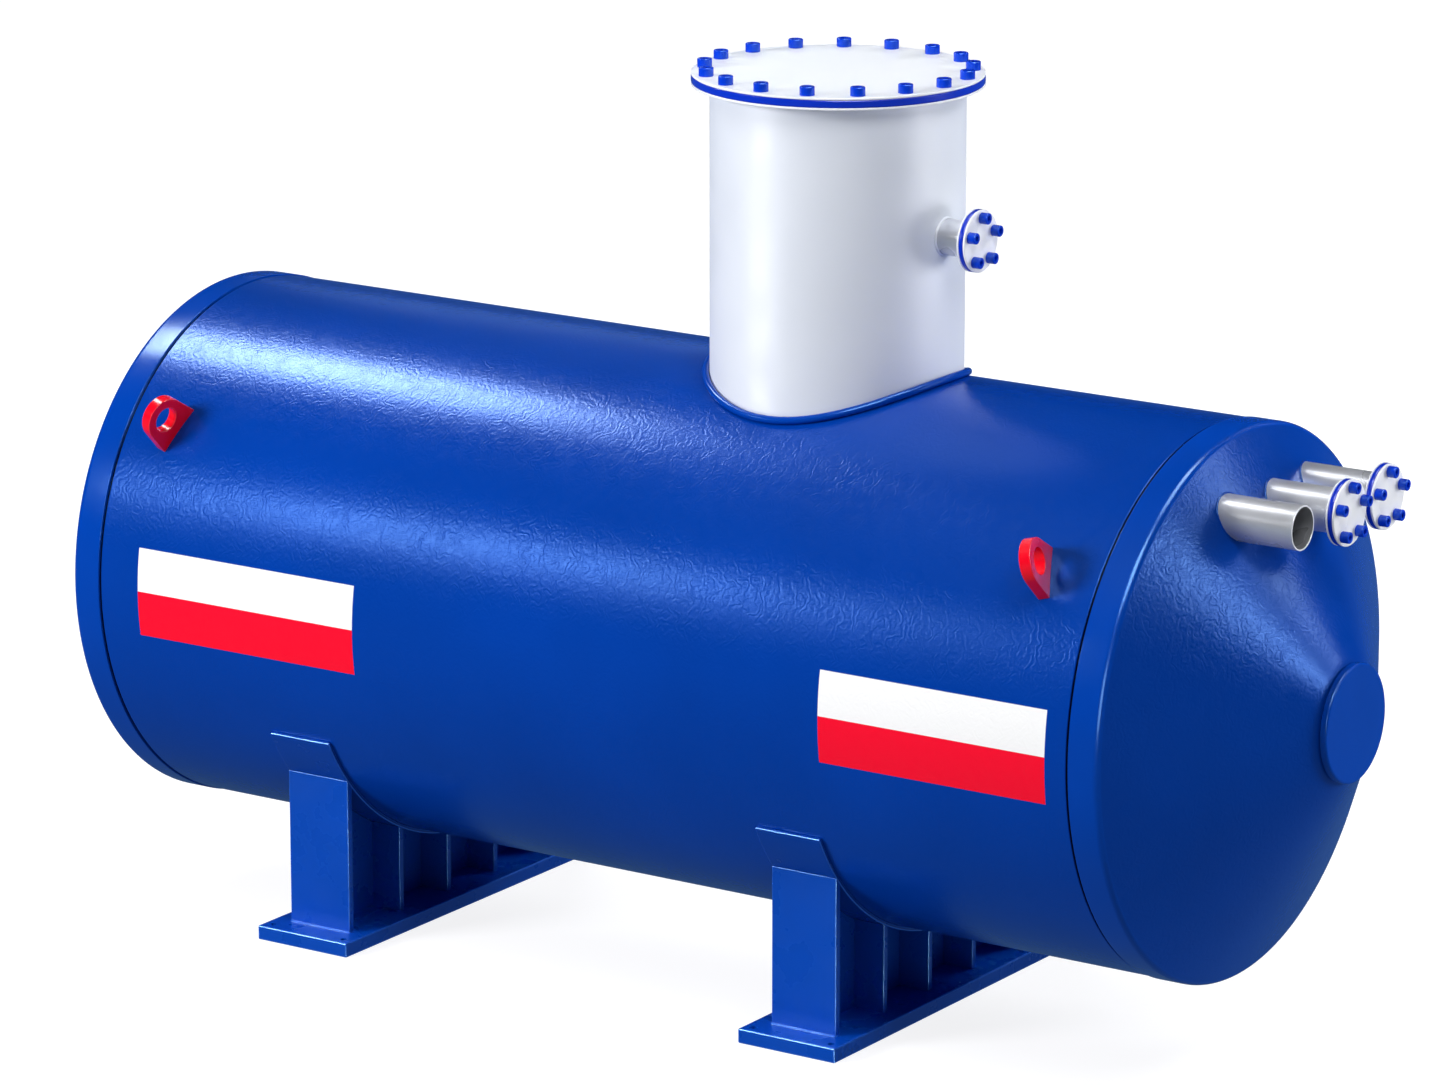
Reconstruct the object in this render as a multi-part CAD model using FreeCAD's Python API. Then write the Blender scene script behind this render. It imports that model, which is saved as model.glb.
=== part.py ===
import FreeCAD, Part
import math
import os

# Horizontal pressure tank: a welded barrel with two shallow cone ends, an access
# neck with a bolted cover, branch nozzles, lifting lugs and two saddles.
# Millimetres. X runs along the tank, the nozzles are at the +X end, Z is up and
# the floor is Z = 0, halfway between the two end discs.

# ---- driving dimensions ----------------------------------------------------
SHELL_RADIUS = 1000.0
SHELL_WALL = 10.0
BARREL_LENGTH = 4200.0
FLOOR_CLEARANCE = 290.0

# slack between two pieces that are welded or pushed together
SEAT_GAP = 0.2

# end groove, end band and cone
GROOVE_WIDTH = 10.0
GROOVE_DEPTH = 6.0
BAND_WIDTH = 115.0
BAND_STEP = 4.0
END_WALL = 14.0
END_EDGE_RADIUS = 30.0
CONE_SLOPE = 28.0
CONE_TIP_RADIUS = 200.0
DISC_OVERHANG = 15.0
DISC_THICKNESS = 25.0
DISC_EDGE_RADIUS = 8.0

# access neck
NECK_TO_BARREL_END = 1576.0
NECK_RADIUS = 460.0
NECK_WALL = 10.0
NECK_RISE = 1081.0
COVER_OVERHANG = 67.0
COVER_THICKNESS = 9.0
COVER_GASKET_THICKNESS = 28.0
NECK_FLANGE_THICKNESS = 8.0
COVER_GASKET_INSET = 20.0
COLLAR_BEAD_RADIUS = 14.0
COLLAR_BEAD_SECTIONS = 16

# bolts of the cover: head, shank and hexagon socket
COVER_BOLT_COUNT = 17
COVER_BOLT_OFFSET = 23.0
COVER_BOLT_START = 14.5
COVER_BOLT = dict(head_radius=27.0, head_height=32.0, shank_radius=12.0, socket_flats=27.0)

# bolts of the nozzle flanges
NOZZLE_BOLT_COUNT = 5
NOZZLE_BOLT = dict(head_radius=20.5, head_height=32.0, shank_radius=8.0, socket_flats=19.0)

# flange, gasket and blind of a nozzle
NOZZLE_FLANGE_THICKNESS = 7.0
NOZZLE_GASKET_THICKNESS = 18.0
NOZZLE_BLIND_THICKNESS = 9.0
BLIND_EDGE_RADIUS = 2.5

# pipes on the right cone: one level row, the middle one in the tank's centre plane
CONE_PIPE_RADIUS = 79.5
CONE_PIPE_WALL = 6.0
CONE_PIPE_BELOW_TOP = 250.0
CONE_PIPE_PITCH = 275.0
CONE_PIPE_INNER_REACH = 40.0
CONE_FLANGE_OUTREACH = 375.0
CONE_FLANGE_OVERHANG = 38.5
CONE_BOLT_OFFSET = 11.5
OPEN_PIPE_OUTREACH = 375.0

# nozzle on the side of the neck
NECK_PIPE_RADIUS = 66.5
NECK_PIPE_WALL = 5.0
NECK_PIPE_BELOW_COVER = 551.0
NECK_PIPE_INNER_REACH = 30.0
NECK_PIPE_OUTREACH = 112.0
NECK_PIPE_FLANGE_OVERHANG = 46.5
NECK_PIPE_BOLT_OFFSET = 17.5

# lifting lugs: one near each end on both sides
LUG_TO_BARREL_END = 210.0
LUG_ANGLE = 37.0
LUG_TOE = 17.0
LUG_THICKNESS = 42.0
LUG_OUTER_RADIUS = 83.0
LUG_HOLE_RADIUS = 48.0
LUG_HOLE_HEIGHT = 94.0
LUG_BASE_HALF_WIDTH = 96.0
LUG_ROOT = 40.0

# saddles
LEFT_SADDLE_TO_BARREL_END = 840.0
RIGHT_SADDLE_TO_BARREL_END = 1200.0
LEG_WIDTH = 273.0
LEG_THICKNESS = 28.0
LEG_ANGLE = 50.65
WEB_THICKNESS = 20.0
RIB_COUNT = 4
RIB_THICKNESS = 24.0
PAD_THICKNESS = 15.0
PAD_HALF_ANGLE = 62.0
BASE_THICKNESS = 55.0
BASE_SIDE_MARGIN = 69.5
BASE_END_MARGIN = 115.0
ANCHOR_HOLE_RADIUS = 13.0
ANCHOR_SIDE_INSET = 41.0
ANCHOR_END_INSET = 42.0

# ---- places that follow from them ------------------------------------------
axis_height = FLOOR_CLEARANCE + SHELL_RADIUS
half_barrel = BARREL_LENGTH / 2
shell_bore = SHELL_RADIUS - SHELL_WALL
band_start = half_barrel + GROOVE_WIDTH
band_end = band_start + BAND_WIDTH
band_radius = SHELL_RADIUS + BAND_STEP
slope = math.radians(CONE_SLOPE)

neck_x = half_barrel - NECK_TO_BARREL_END
cover_top = axis_height + SHELL_RADIUS + NECK_RISE
cover_bottom = cover_top - COVER_THICKNESS
gasket_bottom = cover_bottom - COVER_GASKET_THICKNESS
neck_flange_bottom = gasket_bottom - NECK_FLANGE_THICKNESS
cover_radius = NECK_RADIUS + COVER_OVERHANG
cover_bolt_circle = NECK_RADIUS + COVER_BOLT_OFFSET

cone_pipe_z = axis_height + SHELL_RADIUS - CONE_PIPE_BELOW_TOP
neck_pipe_z = cover_top - NECK_PIPE_BELOW_COVER

pad_inner = SHELL_RADIUS + SEAT_GAP
pad_outer = pad_inner + PAD_THICKNESS
leg_outer_y = pad_outer * math.sin(math.radians(LEG_ANGLE))
leg_inner_y = leg_outer_y - LEG_THICKNESS
base_half_width = LEG_WIDTH / 2 + BASE_SIDE_MARGIN
base_half_length = leg_outer_y + BASE_END_MARGIN
saddle_places = dict(
    left=LEFT_SADDLE_TO_BARREL_END - half_barrel,
    right=half_barrel - RIGHT_SADDLE_TO_BARREL_END,
)

X_AXIS = FreeCAD.Vector(1, 0, 0)
Z_AXIS = FreeCAD.Vector(0, 0, 1)
AXIS_POINT = FreeCAD.Vector(0, 0, axis_height)


# ---- shape helpers ---------------------------------------------------------
def cylinder_x(x0, x1, radius, y=0.0, z=axis_height):
    return Part.makeCylinder(radius, x1 - x0, FreeCAD.Vector(x0, y, z), X_AXIS)


def cylinder_z(z0, z1, radius, x=0.0, y=0.0):
    return Part.makeCylinder(radius, z1 - z0, FreeCAD.Vector(x, y, z0), Z_AXIS)


def tube_x(x0, x1, outer, inner, y=0.0, z=axis_height):
    return cylinder_x(x0, x1, outer, y, z).cut(cylinder_x(x0 - 1, x1 + 1, inner, y, z))


def tube_z(z0, z1, outer, inner, x=0.0, y=0.0):
    return cylinder_z(z0, z1, outer, x, y).cut(cylinder_z(z0 - 1, z1 + 1, inner, x, y))


def box(x0, x1, y0, y1, z0, z1):
    return Part.makeBox(x1 - x0, y1 - y0, z1 - z0, FreeCAD.Vector(x0, y0, z0))


def mirrored_x(shape):
    return shape.mirror(FreeCAD.Vector(0, 0, 0), X_AXIS)


def mirrored_y(shape):
    return shape.mirror(FreeCAD.Vector(0, 0, 0), FreeCAD.Vector(0, 1, 0))


def turned_about_tank(edges):
    """Revolve a closed profile, drawn as X and distance from the tank's axis."""
    face = Part.Face(Part.Wire(edges))
    return face.revolve(AXIS_POINT, X_AXIS, 360)


def profile_point(x, r):
    return FreeCAD.Vector(x, 0, axis_height + r)


def line(a, b):
    return Part.makeLine(profile_point(*a), profile_point(*b))


def closed_lines(points):
    return [line(a, b) for a, b in zip(points, points[1:] + points[:1])]


def edges_at_radius(shape, radius, x):
    """Circular edges about an X axis that have this radius and lie at this X."""
    found = []
    for edge in shape.Edges:
        curve = edge.Curve
        if not isinstance(curve, Part.Circle):
            continue
        if abs(curve.Radius - radius) < 0.01 and abs(curve.Center.x - x) < 0.01:
            found.append(edge)
    return found


def socket_bolt(head_radius, head_height, shank_radius, socket_flats, shank_length):
    """One bolt that stands up along Z, with the underside of its head at Z = 0."""
    chamfer = head_radius * 0.12
    outline = [
        (0, -shank_length),
        (shank_radius, -shank_length),
        (shank_radius, 0),
        (head_radius, 0),
        (head_radius, head_height - chamfer),
        (head_radius - chamfer, head_height),
        (0, head_height),
    ]
    points = [FreeCAD.Vector(r, 0, z) for r, z in outline]
    face = Part.Face(Part.makePolygon(points + points[:1]))
    body = face.revolve(FreeCAD.Vector(0, 0, 0), Z_AXIS, 360)
    corner = socket_flats / math.sqrt(3)
    depth = head_height * 0.55
    hexagon = []
    for step in range(7):
        angle = math.radians(60 * step)
        x = corner * math.cos(angle)
        y = corner * math.sin(angle)
        hexagon.append(FreeCAD.Vector(x, y, head_height - depth))
    socket = Part.Face(Part.makePolygon(hexagon)).extrude(FreeCAD.Vector(0, 0, depth + 1))
    return body.cut(socket)


# ---- shell and ends --------------------------------------------------------
def neck_opening():
    bottom = axis_height + 0.5 * SHELL_RADIUS
    top = axis_height + SHELL_RADIUS + 50
    return cylinder_z(bottom, top, NECK_RADIUS + SEAT_GAP, neck_x)


def barrel_shell():
    tongue = SHELL_RADIUS - GROOVE_DEPTH
    outline = [
        (-band_start, shell_bore),
        (-band_start, tongue),
        (-half_barrel, tongue),
        (-half_barrel, SHELL_RADIUS),
        (half_barrel, SHELL_RADIUS),
        (half_barrel, tongue),
        (band_start, tongue),
        (band_start, shell_bore),
    ]
    return turned_about_tank(closed_lines(outline)).cut(neck_opening())


# the rounded edge between band and cone: centre of its arc and both tangent points
edge_x = band_end - END_EDGE_RADIUS * math.tan((math.pi / 2 - slope) / 2)
edge_r = band_radius - END_EDGE_RADIUS


def edge_arc_point(radius, angle):
    return (edge_x + radius * math.cos(angle), edge_r + radius * math.sin(angle))


cone_start = edge_arc_point(END_EDGE_RADIUS, slope)
cone_start_inner = edge_arc_point(END_EDGE_RADIUS - END_WALL, slope)
cone_tip_x = cone_start[0] + (cone_start[1] - CONE_TIP_RADIUS) * math.tan(slope)
cone_tip_inner = cone_start_inner[1] - (cone_tip_x - cone_start_inner[0]) / math.tan(slope)


def cone_surface_x(radius):
    return cone_start[0] + (cone_start[1] - radius) * math.tan(slope)


def edge_arc(radius):
    angles = (math.pi / 2, (math.pi / 2 + slope) / 2, slope)
    points = [profile_point(*edge_arc_point(radius, angle)) for angle in angles]
    return Part.Arc(*points).toShape()


def right_end_band():
    inner_radius = END_EDGE_RADIUS - END_WALL
    bore = edge_arc_point(inner_radius, math.pi / 2)[1]
    edges = [
        line((band_start, bore), (band_start, band_radius)),
        line((band_start, band_radius), (edge_x, band_radius)),
        edge_arc(END_EDGE_RADIUS),
        line(cone_start, cone_start_inner),
        edge_arc(inner_radius),
        line((edge_x, bore), (band_start, bore)),
    ]
    return turned_about_tank(edges)


def plain_cone():
    outline = [
        cone_start,
        (cone_tip_x, CONE_TIP_RADIUS),
        (cone_tip_x, cone_tip_inner),
        cone_start_inner,
    ]
    return turned_about_tank(closed_lines(outline))


def cone_pipe_places():
    z = cone_pipe_z
    return dict(open=(-CONE_PIPE_PITCH, z), middle=(0.0, z), rear=(CONE_PIPE_PITCH, z))


def right_end_cone():
    cone = plain_cone()
    for y, z in cone_pipe_places().values():
        hole = cylinder_x(half_barrel, cone_tip_x, CONE_PIPE_RADIUS + SEAT_GAP, y, z)
        cone = cone.cut(hole)
    return cone


def right_end_disc():
    radius = CONE_TIP_RADIUS + DISC_OVERHANG
    disc = cylinder_x(cone_tip_x, cone_tip_x + DISC_THICKNESS, radius)
    rim = edges_at_radius(disc, radius, cone_tip_x + DISC_THICKNESS)
    return disc.makeFillet(DISC_EDGE_RADIUS, rim)


# ---- access neck -----------------------------------------------------------
def neck_shell():
    start = axis_height + 0.5 * SHELL_RADIUS
    tube = tube_z(start, gasket_bottom, NECK_RADIUS, NECK_RADIUS - NECK_WALL, neck_x)
    inside = cylinder_x(-half_barrel, half_barrel, shell_bore)
    branch_end = neck_x + NECK_RADIUS + 50
    branch = cylinder_x(neck_x, branch_end, NECK_PIPE_RADIUS + SEAT_GAP, 0.0, neck_pipe_z)
    return tube.cut(inside).cut(branch)


def collar_bead_section(angle):
    """Round section of the bead, square to its path over the barrel."""
    offset = COLLAR_BEAD_RADIUS + SEAT_GAP
    path_radius = NECK_RADIUS + offset
    across = path_radius * math.cos(angle)
    y = path_radius * math.sin(angle)
    rise = math.sqrt((SHELL_RADIUS + offset) ** 2 - y ** 2)
    centre = FreeCAD.Vector(neck_x + across, y, axis_height + rise)
    along = FreeCAD.Vector(-y, across, -y * across / rise)
    return Part.Wire(Part.makeCircle(COLLAR_BEAD_RADIUS, centre, along))


def neck_collar_bead():
    """A round bead laid in the corner between the neck and the barrel."""
    angles = [math.pi * step / COLLAR_BEAD_SECTIONS for step in range(COLLAR_BEAD_SECTIONS + 1)]
    half = Part.makeLoft([collar_bead_section(angle) for angle in angles], True)
    return half.fuse(mirrored_y(half)).removeSplitter()


def bolt_angles(count, start):
    return [math.radians(start + 360.0 * step / count) for step in range(count)]


def cover_bolt_places():
    places = []
    for angle in bolt_angles(COVER_BOLT_COUNT, COVER_BOLT_START):
        x = neck_x + cover_bolt_circle * math.cos(angle)
        y = cover_bolt_circle * math.sin(angle)
        places.append((x, y))
    return places


def drilled_for_cover_bolts(plate, z0, z1):
    radius = COVER_BOLT["shank_radius"] + SEAT_GAP
    for x, y in cover_bolt_places():
        plate = plate.cut(cylinder_z(z0 - 1, z1 + 1, radius, x, y))
    return plate


def neck_flange():
    bore = NECK_RADIUS + SEAT_GAP
    return tube_z(neck_flange_bottom, gasket_bottom, cover_radius, bore, neck_x)


def neck_gasket():
    bore = NECK_RADIUS - COVER_GASKET_INSET
    ring = tube_z(gasket_bottom, cover_bottom, cover_radius, bore, neck_x)
    return drilled_for_cover_bolts(ring, gasket_bottom, cover_bottom)


def neck_cover():
    plate = cylinder_z(cover_bottom, cover_top, cover_radius, neck_x)
    return drilled_for_cover_bolts(plate, cover_bottom, cover_top)


def neck_cover_bolts():
    bolt = socket_bolt(shank_length=COVER_THICKNESS + COVER_GASKET_THICKNESS, **COVER_BOLT)
    bolts = []
    for x, y in cover_bolt_places():
        bolts.append(bolt.translated(FreeCAD.Vector(x, y, cover_top)))
    return Part.makeCompound(bolts)


# ---- flanged nozzles, all along +X -----------------------------------------
def nozzle_bolt_places(y, z, circle):
    places = []
    for angle in bolt_angles(NOZZLE_BOLT_COUNT, 90.0):
        places.append((y + circle * math.cos(angle), z + circle * math.sin(angle)))
    return places


def flanged_nozzle(start_x, flange_x, y, z, pipe_radius, pipe_wall, flange_radius, circle):
    """Pipe, flange, gasket, blind and bolts of a nozzle whose flange starts at flange_x."""
    gasket_x = flange_x + NOZZLE_FLANGE_THICKNESS
    blind_x = gasket_x + NOZZLE_GASKET_THICKNESS
    face_x = blind_x + NOZZLE_BLIND_THICKNESS
    pipe_bore = pipe_radius - pipe_wall
    places = nozzle_bolt_places(y, z, circle)

    def drilled(plate):
        for hole_y, hole_z in places:
            radius = NOZZLE_BOLT["shank_radius"] + SEAT_GAP
            plate = plate.cut(cylinder_x(flange_x - 1, face_x + 1, radius, hole_y, hole_z))
        return plate

    blind = cylinder_x(blind_x, face_x, flange_radius, y, z)
    blind = blind.makeFillet(BLIND_EDGE_RADIUS, edges_at_radius(blind, flange_radius, face_x))
    bolt = socket_bolt(shank_length=face_x - flange_x, **NOZZLE_BOLT)
    bolt.rotate(FreeCAD.Vector(0, 0, 0), FreeCAD.Vector(0, 1, 0), 90)
    bolts = [bolt.translated(FreeCAD.Vector(face_x, by, bz)) for by, bz in places]
    return dict(
        pipe=tube_x(start_x, gasket_x, pipe_radius, pipe_bore, y, z),
        flange=drilled(tube_x(flange_x, gasket_x, flange_radius, pipe_radius + SEAT_GAP, y, z)),
        gasket=drilled(tube_x(gasket_x, blind_x, flange_radius, pipe_bore, y, z)),
        blind=drilled(blind),
        bolts=Part.makeCompound(bolts),
    )


def cone_pipe_start(y, z):
    reach = math.hypot(y, z - axis_height) + CONE_PIPE_RADIUS
    return cone_surface_x(reach) - CONE_PIPE_INNER_REACH


def cone_nozzle(name):
    y, z = cone_pipe_places()[name]
    return flanged_nozzle(
        start_x=cone_pipe_start(y, z),
        flange_x=band_end + CONE_FLANGE_OUTREACH,
        y=y,
        z=z,
        pipe_radius=CONE_PIPE_RADIUS,
        pipe_wall=CONE_PIPE_WALL,
        flange_radius=CONE_PIPE_RADIUS + CONE_FLANGE_OVERHANG,
        circle=CONE_PIPE_RADIUS + CONE_BOLT_OFFSET,
    )


def neck_nozzle():
    neck_side = neck_x + NECK_RADIUS
    return flanged_nozzle(
        start_x=neck_side - NECK_WALL - NECK_PIPE_INNER_REACH,
        flange_x=neck_side + NECK_PIPE_OUTREACH,
        y=0.0,
        z=neck_pipe_z,
        pipe_radius=NECK_PIPE_RADIUS,
        pipe_wall=NECK_PIPE_WALL,
        flange_radius=NECK_PIPE_RADIUS + NECK_PIPE_FLANGE_OVERHANG,
        circle=NECK_PIPE_RADIUS + NECK_PIPE_BOLT_OFFSET,
    )


def open_nozzle_pipe():
    y, z = cone_pipe_places()["open"]
    end = band_end + OPEN_PIPE_OUTREACH
    bore = CONE_PIPE_RADIUS - CONE_PIPE_WALL
    return tube_x(cone_pipe_start(y, z), end, CONE_PIPE_RADIUS, bore, y, z)


# ---- lifting lugs ----------------------------------------------------------
def front_right_lug():
    """A plate with a rounded, holed head. Drawn flat: X is its thickness, Z is outwards."""
    foot = LUG_BASE_HALF_WIDTH
    # where the straight side from the foot's corner touches the rounded head
    towards_foot = math.atan2(-LUG_HOLE_HEIGHT, foot)
    spread = math.acos(LUG_OUTER_RADIUS / math.hypot(foot, LUG_HOLE_HEIGHT))
    touch_y = LUG_OUTER_RADIUS * math.cos(towards_foot + spread)
    touch_z = LUG_HOLE_HEIGHT + LUG_OUTER_RADIUS * math.sin(towards_foot + spread)
    half = -LUG_THICKNESS / 2
    corners = [
        FreeCAD.Vector(half, touch_y, touch_z),
        FreeCAD.Vector(half, foot, 0),
        FreeCAD.Vector(half, foot, -LUG_ROOT),
        FreeCAD.Vector(half, -foot, -LUG_ROOT),
        FreeCAD.Vector(half, -foot, 0),
        FreeCAD.Vector(half, -touch_y, touch_z),
    ]
    top = FreeCAD.Vector(half, 0, LUG_HOLE_HEIGHT + LUG_OUTER_RADIUS)
    edges = [Part.makeLine(a, b) for a, b in zip(corners, corners[1:])]
    edges.append(Part.Arc(corners[-1], top, corners[0]).toShape())
    plate = Part.Face(Part.Wire(edges)).extrude(FreeCAD.Vector(LUG_THICKNESS, 0, 0))
    plate = plate.cut(cylinder_x(half - 1, -half + 1, LUG_HOLE_RADIUS, 0.0, LUG_HOLE_HEIGHT))
    # turn the plate about its own outward line, stand it on the barrel, lean it to -Y
    plate.rotate(FreeCAD.Vector(0, 0, 0), Z_AXIS, LUG_TOE)
    plate.translate(FreeCAD.Vector(half_barrel - LUG_TO_BARREL_END, 0, SHELL_RADIUS))
    plate.rotate(FreeCAD.Vector(0, 0, 0), X_AXIS, 90.0 - LUG_ANGLE)
    plate.translate(AXIS_POINT)
    return plate.cut(cylinder_x(0, half_barrel, SHELL_RADIUS + SEAT_GAP))


# ---- saddles ---------------------------------------------------------------
def saddle_base(x):
    side = base_half_width
    end = base_half_length
    plate = box(x - side, x + side, -end, end, 0, BASE_THICKNESS)
    for hole_x in (x - side + ANCHOR_SIDE_INSET, x + side - ANCHOR_SIDE_INSET):
        for hole_y in (-end + ANCHOR_END_INSET, end - ANCHOR_END_INSET):
            hole = cylinder_z(-1, BASE_THICKNESS + 1, ANCHOR_HOLE_RADIUS, hole_x, hole_y)
            plate = plate.cut(hole)
    return plate


def below_pad(shape):
    """Cut a plate to the underside of the curved pad."""
    return shape.cut(cylinder_x(-half_barrel, half_barrel, pad_outer + SEAT_GAP))


def saddle_web(x):
    half = WEB_THICKNESS / 2
    plate = box(x - half, x + half, -leg_inner_y, leg_inner_y, BASE_THICKNESS, axis_height)
    return below_pad(plate)


def saddle_end_plates(x):
    half = LEG_WIDTH / 2
    plate = box(x - half, x + half, -leg_outer_y, -leg_inner_y, BASE_THICKNESS, axis_height)
    front = below_pad(plate)
    return Part.makeCompound([front, mirrored_y(front)])


def saddle_ribs(x):
    """Ribs on both sides of the web, evenly spaced between the end plates."""
    inner = WEB_THICKNESS / 2
    outer = LEG_WIDTH / 2
    half = RIB_THICKNESS / 2
    pitch = 2 * leg_inner_y / (RIB_COUNT + 1)
    ribs = []
    for step in range(RIB_COUNT):
        y = (step + 1) * pitch - leg_inner_y
        for x0, x1 in ((x - outer, x - inner), (x + inner, x + outer)):
            rib = box(x0, x1, y - half, y + half, BASE_THICKNESS, axis_height)
            ribs.append(below_pad(rib))
    return Part.makeCompound(ribs)


def saddle_pad(x):
    left = x - LEG_WIDTH / 2
    right = x + LEG_WIDTH / 2
    corners = [(left, pad_inner), (right, pad_inner), (right, pad_outer), (left, pad_outer)]
    face = Part.Face(Part.Wire(closed_lines(corners)))
    face.rotate(AXIS_POINT, X_AXIS, 180.0 - PAD_HALF_ANGLE)
    return face.revolve(AXIS_POINT, X_AXIS, 2 * PAD_HALF_ANGLE)


# ---- all pieces ------------------------------------------------------------
def all_parts():
    parts = dict(
        barrel_shell=barrel_shell(),
        right_end_band=right_end_band(),
        right_end_cone=right_end_cone(),
        right_end_disc=right_end_disc(),
        left_end_cone=mirrored_x(plain_cone()),
        neck_shell=neck_shell(),
        neck_collar_bead=neck_collar_bead(),
        neck_flange=neck_flange(),
        neck_gasket=neck_gasket(),
        neck_cover=neck_cover(),
        neck_cover_bolts=neck_cover_bolts(),
        open_nozzle_pipe=open_nozzle_pipe(),
    )
    parts["left_end_band"] = mirrored_x(parts["right_end_band"])
    parts["left_end_disc"] = mirrored_x(parts["right_end_disc"])
    for piece, shape in neck_nozzle().items():
        parts["neck_nozzle_" + piece] = shape
    for name in ("middle", "rear"):
        for piece, shape in cone_nozzle(name).items():
            parts[name + "_nozzle_" + piece] = shape
    lug = front_right_lug()
    parts["front_right_lifting_lug"] = lug
    parts["front_left_lifting_lug"] = mirrored_x(lug)
    parts["rear_right_lifting_lug"] = mirrored_y(lug)
    parts["rear_left_lifting_lug"] = mirrored_x(mirrored_y(lug))
    for side, x in saddle_places.items():
        parts[side + "_saddle_base"] = saddle_base(x)
        parts[side + "_saddle_web"] = saddle_web(x)
        parts[side + "_saddle_end_plates"] = saddle_end_plates(x)
        parts[side + "_saddle_ribs"] = saddle_ribs(x)
        parts[side + "_saddle_pad"] = saddle_pad(x)
    return parts


os.makedirs("parts", exist_ok=True)
for part_name, part_shape in all_parts().items():
    part_shape.exportStep(os.path.join("parts", part_name + ".step"))
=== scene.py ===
import math

import bmesh
import bpy
import numpy as np
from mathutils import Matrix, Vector


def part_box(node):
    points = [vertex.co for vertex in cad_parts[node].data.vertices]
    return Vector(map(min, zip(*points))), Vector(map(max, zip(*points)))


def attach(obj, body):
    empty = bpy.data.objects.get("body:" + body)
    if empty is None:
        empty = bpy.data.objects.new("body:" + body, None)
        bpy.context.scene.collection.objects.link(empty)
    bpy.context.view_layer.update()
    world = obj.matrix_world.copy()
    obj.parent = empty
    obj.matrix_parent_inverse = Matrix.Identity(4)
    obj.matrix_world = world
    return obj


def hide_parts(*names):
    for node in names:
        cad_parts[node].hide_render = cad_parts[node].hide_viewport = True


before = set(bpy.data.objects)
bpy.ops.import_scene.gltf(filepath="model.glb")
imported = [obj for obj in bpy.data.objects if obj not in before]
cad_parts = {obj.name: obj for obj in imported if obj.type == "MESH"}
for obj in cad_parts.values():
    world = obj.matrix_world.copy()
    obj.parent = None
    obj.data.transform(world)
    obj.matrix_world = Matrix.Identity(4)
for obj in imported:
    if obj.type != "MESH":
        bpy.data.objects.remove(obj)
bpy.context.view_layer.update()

# Looks of a horizontal pressure tank: glossy blue barrel with two painted panels
# on each side, satin white access neck, silver branch pipes, red lifting lugs.
# Metres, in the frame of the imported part: X along the tank, Z up, floor at Z = 0.

# ---- sizes that the boxes of the CAD nodes do not give ----------------------
GROOVE_WIDTH = 0.010
GROOVE_DEPTH = 0.006
BAND_LENGTH = 0.115
SHELL_WALL = 0.010
END_EDGE_RADIUS = 0.030
END_WALL = 0.014
CONE_SLOPE = math.radians(28.0)
CONE_TIP_RADIUS = 0.200
PIPE_WALL = 0.006
NECK_PIPE_WALL = 0.005
NECK_WALL = 0.010
NECK_FOOT_INSET = 0.009
GASKET_BORE_INSET = 0.020
COLLAR_BEAD_RADIUS = 0.014
LEG_THICKNESS = 0.028
SEAT_GAP = 0.0002

# how far below the barrel's surface the painted shade in the groove starts, and is full
GROOVE_SHADE_DEPTHS = (0.0015, 0.004)

# the hole in the cone is this much smaller than its pipe, so that no gap shows
PIPE_HOLE_INSET = 0.0005

# radius of the innermost ring of a piece with no bore, where skin puts its flat fan
DISC_CENTRE = 0.02
COVER_CENTRE = 0.004
BLIND_CENTRE = 0.002
BOLT_CENTRE = 0.001
SMALLEST_BORE = 0.01

# roundings of edges
LIP_ROUNDING = 0.0028
DISC_EDGE_RADIUS = 0.008
PLATE_ROUNDING = 0.0022
COVER_ROUNDING = 0.003
GASKET_ROUNDING = 0.005
PIPE_END_ROUNDING = 0.0012
BASE_ROUNDING = 0.006
WEB_ROUNDING = 0.002
LEG_ROUNDING = 0.0035
RIB_ROUNDING = 0.0025
PAD_ROUNDING = 0.0045
LUG_ROUNDING = 0.0025

# shortest edge of a base plate that is rounded; those round its anchor holes are shorter
BASE_SHORTEST_EDGE = 0.020

# weld beads: radius of the bead and how much it swells and thins
CONE_WELD_RADIUS = 0.0045
NECK_WELD_RADIUS = 0.006
FOOT_WELD_RADIUS = 0.004
CONE_WELD_RIPPLE = 0.06
NECK_WELD_RIPPLE = 0.05
FOOT_WELD_RIPPLE = 0.06

# bolts: their number and the angle of the first in degrees, how far their circle
# lies inside the edge, and the radius and height of a head, radius of a shank and
# width across the flats of a socket
COVER_BOLTS = dict(count=17, start=14.5, inset=0.044, head=0.027, height=0.032, shank=0.012, flats=0.027)
CONE_BOLTS = dict(count=5, start=90.0, inset=0.027, head=0.0205, height=0.032, shank=0.008, flats=0.019)
NECK_BOLTS = dict(count=5, start=90.0, inset=0.029, head=0.0205, height=0.032, shank=0.008, flats=0.019)
BOLT_SECTIONS = 36

# radians from one bolt's socket to the next; a head's rounding at its foot, and its
# chamfer and the depth of its socket as shares of its radius and its height
BOLT_TURN = 0.7
BOLT_FOOT_ROUNDING = 0.001
BOLT_CHAMFER = 0.16
SOCKET_DEPTH = 0.55

# lip of a socket: depths below the head's top, and how far outside the socket there
SOCKET_LIP = ((0.0, 0.0016), (0.0006, 0.0004), (0.0018, 0.0))

# painted panels: ends along X and edges as angles above the tank's axis
LEFT_PANEL = (-1.925, -0.930)
RIGHT_PANEL = (1.094, 2.016)
PANEL_TOP = math.radians(10.3)
PANEL_SPLIT = math.radians(0.8)
PANEL_BOTTOM = math.radians(-9.0)
PANEL_SOFTNESS = 0.0008

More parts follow.
